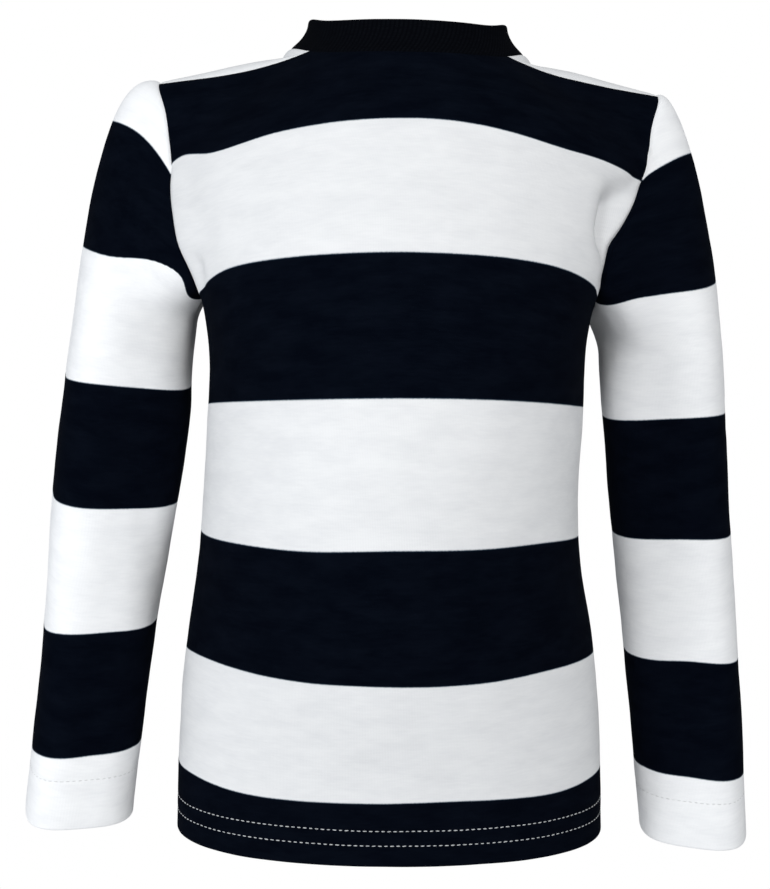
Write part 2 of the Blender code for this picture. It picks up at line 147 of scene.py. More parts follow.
# degrees cut away at the side, a round arc up from the underarm
def armholeCut(side, up):
    deepest = body["backCut"] if side == back else body["frontCut"]
    rise = np.clip((up - body["underarmUp"]) / body["armholeRound"], 0, 1)
    return deepest * np.sqrt(1 - (1 - rise) ** 2)


def yokeUp(side):
    return bodyRows["yoke"][0] if side == back else body["frontYokeUp"]


# Neckline: "turn" in degrees from mid back, and "rise" how steeply the cloth climbs to it
neckColumns = ("turn", "height", "rise")
neckRows = {
    "back":      (0, -0.0090, 70),
    "backSide":  (34, -0.0072, 60),
    "seam":      (54, -0.0035, 44),
    "crest":     (84, 0.0038, 36),
    "shoulder":  (108, -0.0045, 38),
    "frontSide": (132, -0.0270, 48),
    "lowSide":   (156, -0.0440, 62),
    "front":     (180, -0.0500, 68),
}
neck = {"halfWidth": 0.0609, "halfDepth": 0.0520, "middleY": 0.0040, "shift": 0.0045,
        "backShare": 0.42, "frontShare": 0.60, "slide": 1.4, "reach": 0.20, "pull": 0.20}


def neckShare(side):
    return neck["backShare"] if side == back else neck["frontShare"]


# how far along its shoulder seam a column ends, 0 at the neck and over it
def seamShare(side, across):
    return np.clip((np.abs(across) - neckShare(side)) / (1 - neckShare(side)), 0, 1)


def neckValue(name, turn):
    table = np.array(list(neckRows.values()))
    at, value = table[:, 0], table[:, neckColumns.index(name)]
    return smoothCurve(np.concatenate([-at[:0:-1], at, 360 - at[-2::-1]]),
                       np.concatenate([value[:0:-1], value, value[-2::-1]]), turn)


# an oval seen from above, with its height read from the table
def necklinePoint(turn):
    sine, cosine = sineCosine(turn)
    return np.stack([neck["halfWidth"] * sine, neck["middleY"] - neck["halfDepth"] * cosine,
                     neckValue("height", turn)], axis=-1)


shoulder = {"tip": (0.1285, -0.0040, -0.0150), "sag": 0.0030, "sagLean": 1.5, "tilt": 0.5, "shift": 0.0060,
            "riseNeck": 40.0, "riseTip": 27.0, "riseMore": 26.0, "yokePull": 0.36, "seamPull": 0.34}


def tilted(point):
    sine, cosine = sineCosine(shoulder["tilt"])
    x, y, z = point[..., 0], point[..., 1], point[..., 2]
    return np.stack([x * cosine + z * sine, y, z * cosine - x * sine], axis=-1)


# top of a panel: the neckline's arc in the middle, a sagging line to the shoulder tip on both sides
def topEdge(side, across):
    middle, seamTurn = (0 if side == back else 180), neckRows["seam"][0]
    end = necklinePoint(np.array(seamTurn))
    out = seamShare(side, across)[..., None]
    line = end + (np.array(shoulder["tip"]) - end) * out
    line[..., 2:] -= shoulder["sag"] * 4 * out * (1 - out) * (shoulder["sagLean"] - out)
    share = np.clip(np.abs(across) / neckShare(side), 0, 1)
    point = np.where(out > 0, line, necklinePoint(middle + (seamTurn - middle) * share))
    point[..., 0] *= np.where(across < 0, -1, 1)
    point[..., 0] += neck["shift"] + (shoulder["shift"] - neck["shift"]) * out[..., 0]
    return tilted(point)


def neckDirection(side, share):
    middle = 0 if side == back else 180
    turn = middle + (neckRows["seam"][0] - middle) * share
    sine, cosine = sineCosine(turn)
    inward = unit(np.stack([-sine / neck["halfWidth"], cosine / neck["halfDepth"], 0 * sine], axis=-1))
    climb, run = (part[..., None] for part in sineCosine(neckValue("rise", turn)))
    along = unit(necklinePoint(turn + smallStep) - necklinePoint(turn - smallStep))
    slide = -side * neck["slide"] * (share ** 2)[..., None]
    return unit(run * inward + climb * np.array([0, 0, 1]) + slide * along)


def nearNeck(side, across):
    return np.exp(-(seamShare(side, across) / neck["reach"]))[..., None]


# direction in which the cloth of a panel arrives at its top edge
def topDirection(side, across):
    out = seamShare(side, across)
    sine, cosine = sineCosine(shoulder["riseNeck"] + (shoulder["riseTip"] - shoulder["riseNeck"]) * out
                              + shoulder["riseMore"] * 4 * out * (1 - out))
    over = -side * np.stack([0 * sine, cosine, sine], axis=-1)
    neckward = neckDirection(side, np.clip(np.abs(across) / neckShare(side), 0, 1))
    near = nearNeck(side, across)
    direction = unit(neckward * near + over * (1 - near))
    direction[..., 0] *= np.where(across < 0, -1, 1)
    return direction


# a panel: the body's sections up to the yoke, then a Bezier curve in each column to the top edge.
# Level is "up" as far as the yoke, then 1 to 2
def panelPoint(side, across, level):
    across, level = np.broadcast_arrays(np.asarray(across, float), np.asarray(level, float))
    yoke = yokeUp(side)
    up = np.minimum(level, yoke)
    low = bodyPoint(side, across * (90 - armholeCut(side, up)), up)
    t = np.clip(level - 1, 0, 1)[..., None]
    yokeTurn = across * (90 - armholeCut(side, yoke))
    start = bodyPoint(side, yokeTurn, np.full_like(up, yoke))
    before = bodyPoint(side, yokeTurn, np.full_like(up, yoke - smallStep))
    end = topEdge(side, across)
    chord = np.linalg.norm(end - start, axis=-1, keepdims=True)
    pull = shoulder["seamPull"] + (neck["pull"] - shoulder["seamPull"]) * nearNeck(side, across)
    first = start + unit(start - before) * chord * shoulder["yokePull"]
    last = end - topDirection(side, across) * chord * pull
    return np.where(level[..., None] >= 1, bow(start, first, last, end, t), low)


# way out of a panel, across its slopes; below the yoke the columns of the whole body are used, so
# that the armhole's cut doesn't turn it
def panelNormal(side, across, level):
    across, level = np.broadcast_arrays(np.asarray(across, float), np.asarray(level, float))
    up = np.minimum(level, yokeUp(side))
    turn = across * (90 - armholeCut(side, up))
    around = bodyPoint(side, turn + smallStep, up) - bodyPoint(side, turn - smallStep, up)
    upward = bodyPoint(side, turn, up + smallStep) - bodyPoint(side, turn, up - smallStep)
    low = -side * unit(np.cross(around, upward))
    around = panelPoint(side, across + smallStep, level) - panelPoint(side, across - smallStep, level)
    upward = panelPoint(side, across, level + smallStep) - panelPoint(side, across, level - smallStep)
    high = -side * unit(np.cross(around, upward) + (level < 1)[..., None])
    return np.where(level[..., None] > 1, high, low)


# 0 to 1 in equal steps drawn together towards both ends, or only towards the first or last
def closeEnds(steps, draw):
    s = np.linspace(0, 1, steps + 1)
    return s - draw * np.sin(2 * np.pi * s) / (2 * np.pi)


def closeStart(steps, draw):
    s = np.linspace(0, 1, steps + 1)
    return s - draw * np.sin(np.pi * s) / np.pi


def closeLast(steps, draw):
    return 1 - closeStart(steps, draw)[::-1]


# levels from a rounded rim to the far side of the turn-up, from the open edge
def turnUpLevels(height):
    flat = np.linspace(cloth["rim"][-1], height, mesh["hem"] - len(cloth["rim"]) - 1)[1:]
    edge = height + cloth["turnUpEdge"] * np.array([0.5, 1])
    return np.concatenate([cloth["rim"], flat, edge])


def panelLevels(side):
    hem = turnUpLevels(cloth["hemTurnUp"])
    straight = hem[-1] + (body["underarmUp"] - hem[-1]) * closeLast(mesh["body"], drawn["body"])[1:]
    arc = 1 - np.cos(np.pi / 2 * closeStart(mesh["armhole"], drawn["armhole"])[1:])
    armhole = body["underarmUp"] + body["armholeRound"] * arc
    yokeSteps = mesh["backYoke"] if side == back else mesh["frontYoke"]
    yoke = np.linspace(armhole[-1], yokeUp(side), yokeSteps + 1)[1:]
    overSteps = mesh["backShoulder"] if side == back else mesh["frontShoulder"]
    over = 1 + closeLast(overSteps, drawn["shoulder"])[1:]
    return np.concatenate([hem, straight, armhole, yoke, over])


# columns of a panel, from left to right as seen from outside
def panelAcross(side):
    share = neckShare(side)
    seamPart = share + (1 - share) * closeEnds(mesh["seamColumns"], drawn["seamColumns"])
    neckPart = share * (2 * closeEnds(mesh["neckColumns"], drawn["neckColumns"]) - 1)
    return -side * np.concatenate([-seamPart[::-1], neckPart[1:-1], seamPart])


# Sleeves, a row for each ring down the arm
armColumns = ("down", "x", "y", "z", "across", "deep", "behind")
armRows = {
    right: {
        "biceps":  (0.000, 0.1440, 0.0190, -0.1455, 0.0322, 0.0360, 0.002),
        "elbow":   (0.090, 0.1546, 0.0300, -0.2350, 0.0315, 0.0348, 0.003),
        "forearm": (0.170, 0.1623, 0.0290, -0.3140, 0.0302, 0.0330, 0.009),
        "cuff":    (0.262, 0.1670, 0.0160, -0.4040, 0.0278, 0.0295, 0.008),
    },
    left: {
        "biceps":  (0.000, -0.1374, 0.0180, -0.1315, 0.0327, 0.0375, 0.005),
        "elbow":   (0.090, -0.1489, 0.0200, -0.2200, 0.0325, 0.0350, 0.008),
        "forearm": (0.170, -0.1561, 0.0120, -0.2985, 0.0284, 0.0330, 0.010),
        "cuff":    (0.262, -0.1626, -0.0040, -0.3890, 0.0270, 0.0295, 0.007),
    },
}
armCap = {
    right: {"leaveTop": -22.0, "leaveUnder": 75.0, "ringPull": 0.34, "seamPull": 0.12},
    left:  {"leaveTop": -22.0, "leaveUnder": 74.0, "ringPull": 0.46, "seamPull": 0.22},
}
armTurn = 28.0
armFullness = {"power": 3.2, "turn": 19.0}  # a power over 2 gives an oval flatter sides


def armCentre(hand, down):
    return np.stack([column(armRows[hand], armColumns, name, down) for name in "xyz"], axis=-1)


# ring of a sleeve: an oval square to the arm, its back side moved down; the angle starts at the inner
# side and goes round behind
def armRing(hand, angle, down):
    across, deep, behind = (
        column(armRows[hand], armColumns, name, down) for name in ("across", "deep", "behind"))
    axis = unit(armCentre(hand, down + smallStep) - armCentre(hand, down - smallStep))
    forward = unit(np.array([0.0, 1.0, 0.0]) - axis * axis[..., 1:2])
    inward = hand * unit(np.cross(forward, axis))
    power = armFullness["power"]
    fuller = sum(np.abs(part) ** power for part in sineCosine(angle + armFullness["turn"])) ** (-1 / power)
    sine, cosine = ((part * fuller)[..., None] for part in sineCosine(angle))
    ring = (armCentre(hand, down) + inward * across[..., None] * cosine
            - forward * deep[..., None] * sine + axis * behind[..., None] * sine)
    return ring, -axis


def armholeEdge(side, hand):
    levels = panelLevels(side)
    edge = panelPoint(side, float(hand), levels[levels > body["underarmUp"] - tiny])
    length = lengthAlong(edge, 0)
    return edge, length / length[-1] * 180


def armhole(hand):
    backEdge, backAngle = armholeEdge(back, hand)
    frontEdge, frontAngle = armholeEdge(front, hand)
    ring = np.concatenate([backEdge, frontEdge[-2:0:-1]])
    angle = np.concatenate([backAngle, 360 - frontAngle[-2:0:-1]])
    return ring[::hand], angle[::hand]


# a sleeve: rings down the arm, then a Bezier curve in each column from the biceps to the armhole.
# Level is minus "down", then 0 to 1
def sleevePoint(hand, end, angle, level):
    angle, level = np.broadcast_arrays(np.asarray(angle, float), np.asarray(level, float))
    cap = armCap[hand]
    under = (1 + np.cos(np.radians(angle))) / 2
    roundArm = angle + armTurn * under
    low, _ = armRing(hand, roundArm, np.maximum(-level, 0))
    start, upward = armRing(hand, roundArm, np.zeros_like(angle))
    sine, cosine = sineCosine(cap["leaveTop"] + (cap["leaveUnder"] - cap["leaveTop"]) * under ** 2)
    outward = np.stack([hand * cosine, 0 * sine, -sine], axis=-1)
    chord = np.linalg.norm(end - start, axis=-1, keepdims=True)
    first = start + upward * chord * cap["ringPull"]
    last = end + outward * chord * cap["seamPull"]
    t = np.clip(level, 0, 1)[..., None]
    return np.where(level[..., None] > 0, bow(start, first, last, end, t), low)


# way out of a closed tube of points, whose last column joins its first
def tubeNormal(grid):
    around = np.roll(grid, -1, axis=1) - np.roll(grid, 1, axis=1)
    return unit(np.cross(around, np.gradient(grid, axis=0)))


# stripe coordinate: it passes a whole number at each stripe edge, odd stripes are white
stripe = {
    "pitch": 0.065,
    "topPitch": 0.066,  # above the last edge of a panel
    "endless": 0.2,  # length of a stripe without end
    "longest": 0.1,  # a longer one has no end
    "ups": [bodyRows[name][0] for name in ("hip", "waist", "belly", "ribs", "chest", "yoke")] + [0.427],
}

# how far the stripe edges stray from level on the back, in millimetres, along the panel's width
strayAcross = (-1.0, -0.88, -0.72, -0.5, -0.25, 0.0, 0.25, 0.5, 0.72, 0.88, 1.0)
strayRows = {back: {
    "hip":   (3.5, 3.2, 3.0, 0.2, -0.5, 0.2, 0.4, -0.6, 1.2, 2.4, 3.0),
    "waist": (0.0, 1.6, 3.0, 2.4, 0.7, 0.6, 1.0, 2.8, 2.4, 1.6, 0.5),
    "belly": (1.0, 0.8, 0.2, -0.4, -0.9, 0.6, 0.7, 1.7, 1.0, 0.4, 0.2),
    "ribs":  (-0.6, -0.4, -0.2, -0.2, -0.1, 0.3, 0.7, 0.6, 0.3, 0.3, 0.3),
    "chest": (-5.5, -4.0, -0.4, 0.5, -0.2, -0.6, 0.3, 1.4, 0.5, -1.5, -3.8),
    "yoke":  (4.5, 5.6, 0.4, 0.3, 0.5, 0.5, -0.6, -3.0, -1.3, -0.9, -0.5),
    "top":   (200,) * len(strayAcross),  # out of reach, the back has no such edge
}, front: {
    "hip":   (3.0, 2.4, 1.4, 0.4, 0.0, 0.3, 0.2, 0.6, 1.6, 2.6, 3.5),
    "waist": (0.5, 1.2, 1.6, 1.8, 0.8, 0.4, 0.6, 1.6, 1.8, 1.0, 0.0),
    "belly": (0.2, 0.3, 0.6, 0.8, 0.4, 0.0, 0.5, 0.6, 0.4, 0.7, 1.0),
    "ribs":  (0.3, 0.2, 0.0, 0.4, 0.3, 0.0, 0.2, 0.3, 0.0, -0.3, -0.6),
    "chest": (-3.8, -1.6, 0.2, 0.8, 0.2, -0.4, 0.1, 0.6, -0.2, -2.6, -5.5),
    "yoke":  (-6.5, -4.4, -2.0, 0.0, 0.5, 0.5, 0.4, 0.0, -2.0, -4.4, -6.5),
    "top":   (-28.0, -17.0, -5.0, -1.0, 0.0, 0.0, 0.0, -1.0, -5.0, -17.0, -28.0),
}}
sleeveStripes = {  # arc length up from the biceps at each stripe edge, from the cuff up
    right: (-0.2256, -0.1605, -0.0954, -0.0303, 0.0348, 0.0999),
    left:  (-0.225, -0.1605, -0.096, -0.0315, 0.033, 0.0975),
}
strayAngles = (0, 18, 32, 45, 60, 90, 120, 150, 180, 230, 270, 310, 360)
sleeveStray = {  # and how far each edge strays, in millimetres, round the sleeve
    right: (
        (6.8, 6.5, 6.3, 6.1, 5.7, 4.1, 1.5, -2.4, -3.0, -2.0, 0.0, 3.0, 6.8),
        (0.7, 0.9, 1.1, 1.4, 1.5, 0.0, -3.3, -6.4, -6.0, -4.0, -2.0, -1.0, 0.7),
        (0.6, 0.9, 1.1, 1.2, 1.3, 0.5, -1.8, -4.0, -4.0, -3.0, -2.0, -1.5, 0.6),
        (-0.5, -0.1, 0.1, 0.3, 0.4, 0.2, -1.3, -3.3, -3.0, -2.0, -1.0, -1.5, -0.5),
        (-1.8, -0.8, 0.9, 1.9, 1.5, 0.7, 0.3, 0.0, 0.0, 0.0, 0.5, 0.0, -1.8),
        (-3.0, -3.1, -3.0, -2.6, -2.0, -1.0, 0.6, 2.4, 2.5, 1.0, 0.0, -1.5, -3.0),
    ),
    left: (
        (6.9, 7.0, 6.9, 6.7, 6.3, 5.2, 3.0, -1.4, -3.0, -2.0, 0.0, 2.5, 6.9),
        (4.4, 4.3, 4.1, 3.8, 3.3, 2.0, -0.8, -4.2, -4.0, -2.0, -1.0, 0.5, 4.4),
        (3.4, 3.0, 2.8, 2.5, 2.1, 1.4, 0.6, -1.0, -1.5, -1.0, 0.0, 1.5, 3.4),
        (0.2, 0.4, 0.5, 0.5, 0.5, 0.3, -1.0, -2.6, -2.5, -1.0, 0.0, 0.0, 0.2),
        (-19.0, -15.5, -8.5, 2.8, 4.4, 0.7, 0.5, 0.3, 0.0, 0.0, 1.0, -4.0, -18.5),
        (-20.0, -20.0, -20.0, -19.8, -19.0, -14.0, -4.2, 1.4, 2.0, 1.0, -6.0, -15.0, -20.0),
    ),
}


# stripe coordinate along a piece from its edges, a stripe without end stays half way
def countStripes(along, edges):
    total = 0
    for low, high in zip(edges[:-1], edges[1:]):
        whole = np.clip((along - low) / (high - low), 0, 1)
        half = np.clip((along - low) / stripe["pitch"], 0, 0.5)
        total = total + np.where(high - low > stripe["longest"], half, whole)
    return total


def wallAt(level, turnUp):
    return np.interp(level, [turnUp, turnUp + cloth["turnUpEdge"]], [cloth["turnUpWall"], cloth["wall"]])


# map of a tube's cloth, with the first column again at the end
def tubeMap(outer, up):
    wide = lengthAlong(np.concatenate([outer, outer[:, :1]], axis=1), 1)
    return np.stack([wide, np.concatenate([up, up[:, :1]], axis=1)], axis=-1)


def panel(side):
    across, level = panelAcross(side)[None, :], panelLevels(side)[:, None]
    outer = panelPoint(side, across, level)
    yoke = yokeUp(side)
    lengths = lengthAlong(outer, 0)
    yokeRow = np.searchsorted(panelLevels(side), yoke - tiny)
    up = np.where(level > yoke, yoke + lengths - lengths[yokeRow], level)
    stray = np.array([smoothCurve(strayAcross, row, across) for row in strayRows[side].values()]) / 1000
    edges = np.array(stripe["ups"])[:, None, None] + stray
    edges = np.concatenate([edges[:1] - stripe["pitch"], edges])
    stripes = countStripes(up, edges) + np.maximum(up - edges[-1], 0) / stripe["topPitch"]
    middle = outer.shape[1] // 2
    wide = lengthAlong(outer, 1)
    wide -= wide[:, middle:middle + 1]
    return {"outer": outer, "out": panelNormal(side, across, level), "closed": False,
            "seams": (False, True, True, True), "wall": wallAt(level, cloth["hemTurnUp"]),
            "open": level + 0 * across, "stripe": stripes, "uv": np.stack([wide, up], axis=-1)}


def sleeve(hand):
    end, angle = armhole(hand)
    length = armRows[hand]["cuff"][0]
    cuff = turnUpLevels(cloth["cuffTurnUp"]) - length
    arm = np.linspace(cuff[-1], 0, mesh["arm"])[1:]
    level = np.concatenate([cuff, arm, closeLast(mesh["cap"], drawn["cap"])[1:]])[:, None]
    outer = sleevePoint(hand, end, angle, level)
    along = lengthAlong(outer, 0)
    ringRow = np.searchsorted(level[:, 0], -tiny)
    along = along - along[ringRow]
    stray = np.array([smoothCurve(strayAngles, row, angle) for row in sleeveStray[hand]]) / 1000
    edges = np.array(sleeveStripes[hand])[:, None] + stray
    edges = np.concatenate([edges[:1] - stripe["pitch"], edges, edges[-1:] + stripe["endless"]])[:, None, :]
    return {"outer": outer, "out": tubeNormal(outer), "closed": True, "seams": (False, True),
            "wall": wallAt(level + length, cloth["cuffTurnUp"]), "open": level + length + 0 * angle,
            "stripe": 1 + countStripes(along, edges), "uv": tubeMap(outer, along)}


def neckline():
    rings = []
    for side in (back, front):
        across = panelAcross(side)
        rings.append(topEdge(side, across[np.abs(across) <= neckShare(side) + tiny]))
    return np.concatenate([rings[0], rings[1][1:-1]])


band = {"sideDrop": 0.0016, "riseBack": 0.0178, "riseFront": 0.0155, "inBack": 0.0075, "inFront": 0.0110}


# neckband: it rises from the neckline and leans in along half a parabola, more in front
def neckband():
    start = neckline()
    oval = np.array([1 / neck["halfWidth"] ** 2, 1 / neck["halfDepth"] ** 2, 0])
    inward = unit((np.array([neck["shift"], neck["middleY"], 0.0]) - start) * oval)
    forward = ((start[:, 1:2] - neck["middleY"]) / neck["halfDepth"] + 1) / 2
    rise = band["riseBack"] + (band["riseFront"] - band["riseBack"]) * forward
    rise = rise - band["sideDrop"] * (4 * forward * (1 - forward)) ** 3
    lean = band["inBack"] + (band["inFront"] - band["inBack"]) * forward
    share = closeEnds(mesh["band"], drawn["band"])[:, None, None]
    outer = start + share * rise * np.array([0, 0, 1]) + (1 - (1 - share) ** 2) * lean * inward
    up = lengthAlong(outer, 0)
    return {"outer": outer, "out": tubeNormal(outer), "closed": True, "seams": (True, False),
            "wall": np.full((outer.shape[0], 1), cloth["bandWall"]), "open": up[-1] - up,
            "stripe": np.zeros(up.shape), "uv": tubeMap(outer, up)}


# edges of a piece as loops, anticlockwise seen from outside, and which of their steps are seams
def edgeLoops(piece):
    rows, columns = piece["outer"].shape[:2]
    index = np.arange(rows * columns).reshape(rows, columns)
    seams = np.array(piece["seams"], float)
    if piece["closed"]:
        return [(index[0], np.full(columns, seams[0])), (index[-1, ::-1], np.full(columns, seams[1]))]
    loop = np.concatenate([index[0, :-1], index[:-1, -1], index[-1, :0:-1], index[:0:-1, 0]])
    return [(loop, np.repeat(seams, [columns - 1, rows - 1, columns - 1, rows - 1]))]


def filledAngle(points):
    before, after = unit(np.roll(points, 1, axis=0) - points), unit(np.roll(points, -1, axis=0) - points)
    return np.arccos(np.clip(np.sum(before * after, axis=-1, keepdims=True), -1, 1))


# all pieces that meet at a place get one direction through the cloth there: the sum of their own
# ones, each weighed by the angle that its piece fills
def shareSeams(pieces):
    loops = [(piece, loop) for piece in pieces for loop, _ in edgeLoops(piece)]
    edges = [piece["outer"].reshape(-1, 3)[loop] for piece, loop in loops]
    outs = [piece["out"].reshape(-1, 3)[loop] for piece, loop in loops]
    weighed = np.concatenate([out * filledAngle(edge) for out, edge in zip(outs, edges)])
    points = np.concatenate(edges)
    square = np.sum(points ** 2, axis=1)
    apart = square[:, None] + square[None] - 2 * points @ points.T
    shared = unit((apart < 1e-10).astype(float) @ weighed)  # squares of distances under 0.01 mm
    done = 0
    for piece, loop in loops:
        piece["out"].reshape(-1, 3)[loop] = shared[done:done + len(loop)]
        done += len(loop)


# shortest distance from each point of a grid to a line of points, row by row
def awayFrom(grid, line):
    start, step = line[:-1], np.diff(line, axis=0)
    square = np.maximum(np.sum(step ** 2, axis=1), tiny ** 2)
    nearest = []
    for row in grid:
        share = np.clip(np.einsum("pkc,kc->pk", row[:, None] - start, step) / square, 0, 1)
        gap = row[:, None] - start - share[..., None] * step
        nearest.append(np.sqrt(np.min(np.sum(gap ** 2, axis=-1), axis=1)))
    return np.array(nearest)


def seamDistance(piece):
    outer = piece["outer"]
    if piece["closed"]:
        ring = outer[-1] if piece["seams"][1] else outer[0]
        return awayFrom(outer, np.concatenate([ring, ring[:1]]))
    return awayFrom(outer, np.concatenate([outer[:, 0], outer[-1, 1:], outer[-2::-1, -1]]))


# slow waves of several directions and lengths, -1 to 1, read at places in space
waveRows = ((1.0, 0.2, 0.5, 0.3), (-0.4, 1.0, 0.7, 1.9), (0.3, -0.5, 1.1, 4.1), (0.9, 0.8, -0.6, 2.7))
waveStep = 0.23  # by which each is shorter than the first


def waves(points, length):
    total = 0
    for i, (x, y, z, phase) in enumerate(waveRows):
        total = total + np.sin(points @ np.array([x, y, z]) * 2 * np.pi / length * (1 + waveStep * i) + phase)
    return total / len(waveRows)


# folds, in millimetres: x, y, z of both ends on the cloth, half width and depth, where a
# minus is a trough. The first ones follow the photographed back, the rest are alike on hidden sides
foldRows = (
    (120, -24, -64, 108.5, -37, -79, 7.0, -2.6),  # beside the right armhole
    (108.5, -37, -79, 104.5, -38.5, -91, 10.0, -10.5),
    (105, -38, -92, 101.5, -31, -113, 6.0, -2.4),
    (-102.4, -35.7, -74.1, -92, -50.9, -100, 9.0, -1.4),  # towards the left underarm
    (-100, -42, -112.5, -99.8, -40.5, -116.5, 6.0, -4.2),
    (-128.4, -15.1, -34.7, -120.7, -17.6, -50.5, 3.2, -1.3),  # left cap
    (-120.7, -17.6, -50.5, -117, -20, -64, 2.6, -0.7),
    (127, -17, -48, 131.2, -18.1, -56.6, 2.6, -1.0),  # right cap
    (108.9, -16.1, -131.8, 121.9, -24.9, -123.1, 6.0, -1.2),  # under the right arm
    (-129, -6.7, -233.1, -127.7, 3.9, -293, 7.0, -1.0),  # left forearm
    (-139, -15, -360, -138.6, -17.4, -385, 4.5, -0.7),  # cuffs
    (142, 3, -370, 143, 2, -388, 4.5, -0.8),
    (-103.5, 10, -127, -104.5, 10, -155, 18.0, -3.2),  # under both arms
    (105, 5, -128, 106, 5, -148, 11.0, -1.8),
    (110, 33, -64, 96, 45, -90, 6.5, -1.8),  # front
    (96, 45, -90, 90, 48, -118, 7.0, -1.3),
    (-106, 35, -60, -93, 46, -93, 7.5, -1.7),
    (-93, 46, -93, -90, 47, -115, 6.0, -0.9),
    (156, 64, -225, 130, 52, -242, 6.0, -1.0),
    (-150, 54, -218, -126, 43, -233, 5.5, -0.9),
    (164, 56, -330, 150, 50, -348, 6.0, -0.7),
    (-40, 95, -350, -75, 80, -310, 12.0, -1.1),
    (50, 93, -360, 82, 74, -325, 11.0, -0.9),
)


# places where the cloth is pulled a little aside, in millimetres: centre, reach and move
pullRows = (
    (129, -20, -33, 15.0, (-3.2, 0.0, 0.0)),  # armholes, drawn in below the shoulder tips
    (-125, -15, -32, 13.0, (1.8, 0.0, 0.0)),
    (-107, -30, -101, 13.0, (-3.0, 0.0, 0.0)),  # underarms
    (-104, -8, -121, 12.0, (4.2, 0.0, 3.4)),
    (115, -2, -140, 15.0, (5.2, 0.0, 0.6)),
    (104.5, -8, -121, 12.0, (-0.6, 0.0, 2.6)),
)


def pulled(points):
    moved = points.copy()
    for x, y, z, reach, move in pullRows:
        away = np.linalg.norm(points - np.array([x, y, z]) / 1000, axis=-1, keepdims=True) * 1000 / reach
        moved += np.exp(-away ** 2) * np.array(move) / 1000
    return moved


def foldHeight(points):
    total = 0
    for *places, width, depth in foldRows:
        start, end = np.array(places).reshape(2, 3) / 1000
        step = end - start
        share = np.clip((points - start) @ step / (step @ step), 0, 1)
        away = np.linalg.norm(points - start - share[..., None] * step, axis=-1)
        total = total + depth / 1000 * np.exp(-(away * 1000 / width) ** 2)
    return total


seam = {
    "depth": 0.00030,  # how far the cloth dips into a seam
    "width": 0.0008,
    "puff": 0.00012,  # the swell beside it
    "puffAt": 0.0030,
    "puffWidth": 0.0024,
    "pucker": 0.6,  # share by which the swell comes and goes
    "puckerLength": 0.011,
}


def seamDip(distance, pucker):
    dip = -seam["depth"] * np.exp(-(distance / seam["width"]) ** 2)
    swell = seam["puff"] * np.exp(-((distance - seam["puffAt"]) / seam["puffWidth"]) ** 2)
    return dip + swell * (1 + seam["pucker"] * pucker)


# rows of stitches, by their distance from the open edge
stitchLines = {"hem": (0.0113, 0.0191), "cuff": (0.0250,)}
stitchDip = {"depth": 0.00022, "width": 0.0011, "pucker": 0.5}
unevenness = ((0.00035, 0.075), (0.00010, 0.026))  # height and length of the cloth's slow waves


# moves a piece's sewn edges in by half the gap that sewn pieces leave
def drawIn(piece):
    outer, out = piece["outer"].reshape(-1, 3), piece["out"].reshape(-1, 3)
    for loop, seams in edgeLoops(piece):
        points, outward = outer[loop], out[loop]
        along = np.roll(points, -1, axis=0) - points
        into = unit(np.cross(outward + np.roll(outward, -1, axis=0), along))
        both = np.stack([np.roll(into, 1, axis=0), into], axis=1)
        moves = np.linalg.pinv(both, rcond=0.2) @ np.stack([np.roll(seams, 1), seams], axis=1)[..., None]
        outer[loop] += moves[..., 0] * cloth["seamGap"] / 2


# gives a piece its seams, folds and unevenness, then its two faces: each lies half the wall from
# the middle, less at an open rim, where the wall is rounded like half a circle
def dress(piece, lines=()):
    points = piece["outer"].copy()
    pucker = waves(points, seam["puckerLength"])
    height = seamDip(seamDistance(piece), pucker) + foldHeight(points)
    for rise, length in unevenness:
        height = height + rise * waves(points, length)
    for line in lines:
        beside = (piece["open"] - line) / stitchDip["width"]
        height = height - stitchDip["depth"] * np.exp(-beside ** 2) * (1 + stitchDip["pucker"] * pucker)
    piece["outer"] = pulled(points) + piece["out"] * height[..., None]
    drawIn(piece)
    half = piece["wall"] / 2
    rim = np.sqrt(1 - np.clip(1 - piece["open"] / half, 0, 1) ** 2)
    rim = np.maximum(rim, cloth["thinnestRim"])[..., None]
    through = piece["out"] * half[..., None]
    middle = piece["outer"] - through
    piece["faces"] = middle + through * rim, middle - through * rim
    return piece


# quads of a wall as corners of its two grids, with the first column repeated where it is closed
def wallCorners(rows, columns):
    inner = rows * columns
    index = np.arange(inner).reshape(rows, columns)
    a, b, c, d = index[:-1, :-1], index[:-1, 1:], index[1:, 1:], index[1:, :-1]
    quads = [np.stack([a, b, c, d], axis=-1), np.stack([d, c, b, a], axis=-1) + inner]
    strips = [(index[0, 1:], index[0, :-1]), (index[-1, :-1], index[-1, 1:])]
    sides = [(index[:-1, 0], index[1:, 0]), (index[1:, -1], index[:-1, -1])]
    return quads, strips, sides, inner


def addCloth(name, piece, material):
    rows, columns = piece["outer"].shape[:2]
    wide = columns + piece["closed"]
    quads, strips, sides, inner = wallCorners(rows, wide)
    strips += [] if piece["closed"] else sides
    quads += [np.stack([p, q, q + inner, p + inner], axis=-1) for p, q in strips]
    corners = np.concatenate([q.reshape(-1, 4) for q in quads])
    layer, place = np.divmod(corners, inner)
    row, col = np.divmod(place, wide)
    vertices = layer * rows * columns + row * columns + col % columns
    points = np.concatenate([face.reshape(-1, 3) for face in piece["faces"]])
    uv = np.tile(piece["uv"].reshape(-1, 2), (2, 1))[corners]
    made = addMesh(name, points, vertices.tolist(), material, uv)
    stripes = np.tile(np.broadcast_to(piece["stripe"], (rows, columns)).ravel(), 2).astype(np.float32)
    made.data.attributes.new("stripe", "FLOAT", "POINT").data.foreach_set("value", stripes)
    return made


